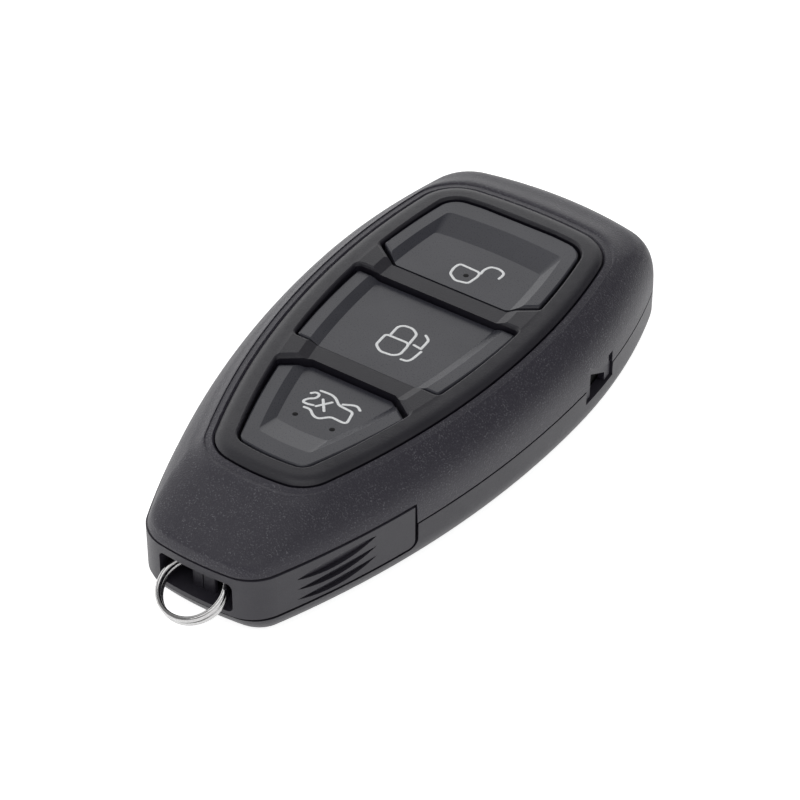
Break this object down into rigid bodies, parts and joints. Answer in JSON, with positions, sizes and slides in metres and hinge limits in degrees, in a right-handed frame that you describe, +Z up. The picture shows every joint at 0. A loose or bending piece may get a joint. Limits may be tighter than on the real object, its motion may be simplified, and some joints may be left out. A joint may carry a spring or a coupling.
{
  "type": "car key fob",
  "caption": "Hand-held keyless car fob: two-part plastic case with three push buttons, sprung release arms, end ring and a hidden emergency key.",
  "frame": {"origin": "on the flat back face, on the middle plane, halfway along the case", "axes": "+Y along the case towards its wide end, the ring is at the -Y end; +X to the right flank, which has the prying notch; +Z up through the buttons"},
  "size_m": [0.0394, 0.0843, 0.0155],
  "materials": {
    "case_plastic": "fine-grained matte",
    "panel_plastic": "satin",
    "cap_plastic": "satin, with white printed pictograms",
    "inner_plastic": "as moulded",
    "keypad_rubber": "matte silicone",
    "board_laminate": "green solder mask",
    "chip_plastic": "moulded package",
    "ceramic_tan": "ceramic capacitor bodies",
    "steel": "plain steel",
    "copper_winding": "enamelled copper wire",
    "ring_chrome": "polished"
  },
  "bodies": {
    "housing": {"front_cover": "case_plastic", "button_panel": "panel_plastic", "keypad_membrane": "keypad_rubber", "circuit_board": "board_laminate", "radio_chip": "chip_plastic", "crystal": "steel", "board_capacitors": "ceramic_tan", "unlock_switch": "steel", "lock_switch": "steel", "boot_switch": "steel", "antenna_coil": "copper_winding", "transponder_coil": "copper_winding", "coin_cell": "steel", "lower_battery_contact": "steel", "upper_battery_contact": "steel", "chassis": "inner_plastic", "ring_yoke": "case_plastic"},
    "unlock_cap": {"unlock_button": "cap_plastic"},
    "lock_cap": {"lock_button": "cap_plastic"},
    "boot_cap": {"boot_button": "cap_plastic"},
    "ring": {"split_ring": "ring_chrome"},
    "right_arm": {"right_release_arm": "case_plastic"},
    "left_arm": {"left_release_arm": "case_plastic"},
    "back": {"back_cover": "case_plastic"},
    "key": {"key_head": "inner_plastic", "key_blade": "steel"}
  },
  "joints": [
    {"name": "unlock_press", "type": "slide", "parent": "housing", "child": "unlock_cap", "axis": [0, 0, -1], "range_m": [0, 0.0004], "stiffness_N_per_m": 3000},
    {"name": "lock_press", "type": "slide", "parent": "housing", "child": "lock_cap", "axis": [0, 0, -1], "range_m": [0, 0.0004], "stiffness_N_per_m": 3000},
    {"name": "boot_press", "type": "slide", "parent": "housing", "child": "boot_cap", "axis": [0, 0, -1], "range_m": [0, 0.0004], "stiffness_N_per_m": 3000},
    {"name": "ring_swing", "type": "hinge", "parent": "housing", "child": "ring", "pos_m": [-0.0002, -0.0386, 0.00634], "axis": [-1, 0, 0], "range_deg": [0, 40]},
    {"name": "right_arm_press", "type": "hinge", "parent": "housing", "child": "right_arm", "pos_m": [0.00885, -0.0344, 0.0069], "axis": [0, 0, 1], "range_deg": [0, 3], "stiffness_Nm_per_rad": 1.2},
    {"name": "left_arm_press", "type": "hinge", "parent": "housing", "child": "left_arm", "pos_m": [-0.00885, -0.0344, 0.0069], "axis": [0, 0, -1], "range_deg": [0, 3], "stiffness_Nm_per_rad": 1.2},
    {"name": "cover_lift", "type": "slide", "parent": "housing", "child": "back", "axis": [0, 0, -1], "range_m": [0, 0.022]},
    {"name": "key_lift", "type": "slide", "parent": "housing", "child": "key", "axis": [0, 0, -1], "range_m": [0, 0.011]}
  ],
  "couplings": [
    {"joint": "key_lift", "follows": "cover_lift", "ratio": 0.5}
  ]
}
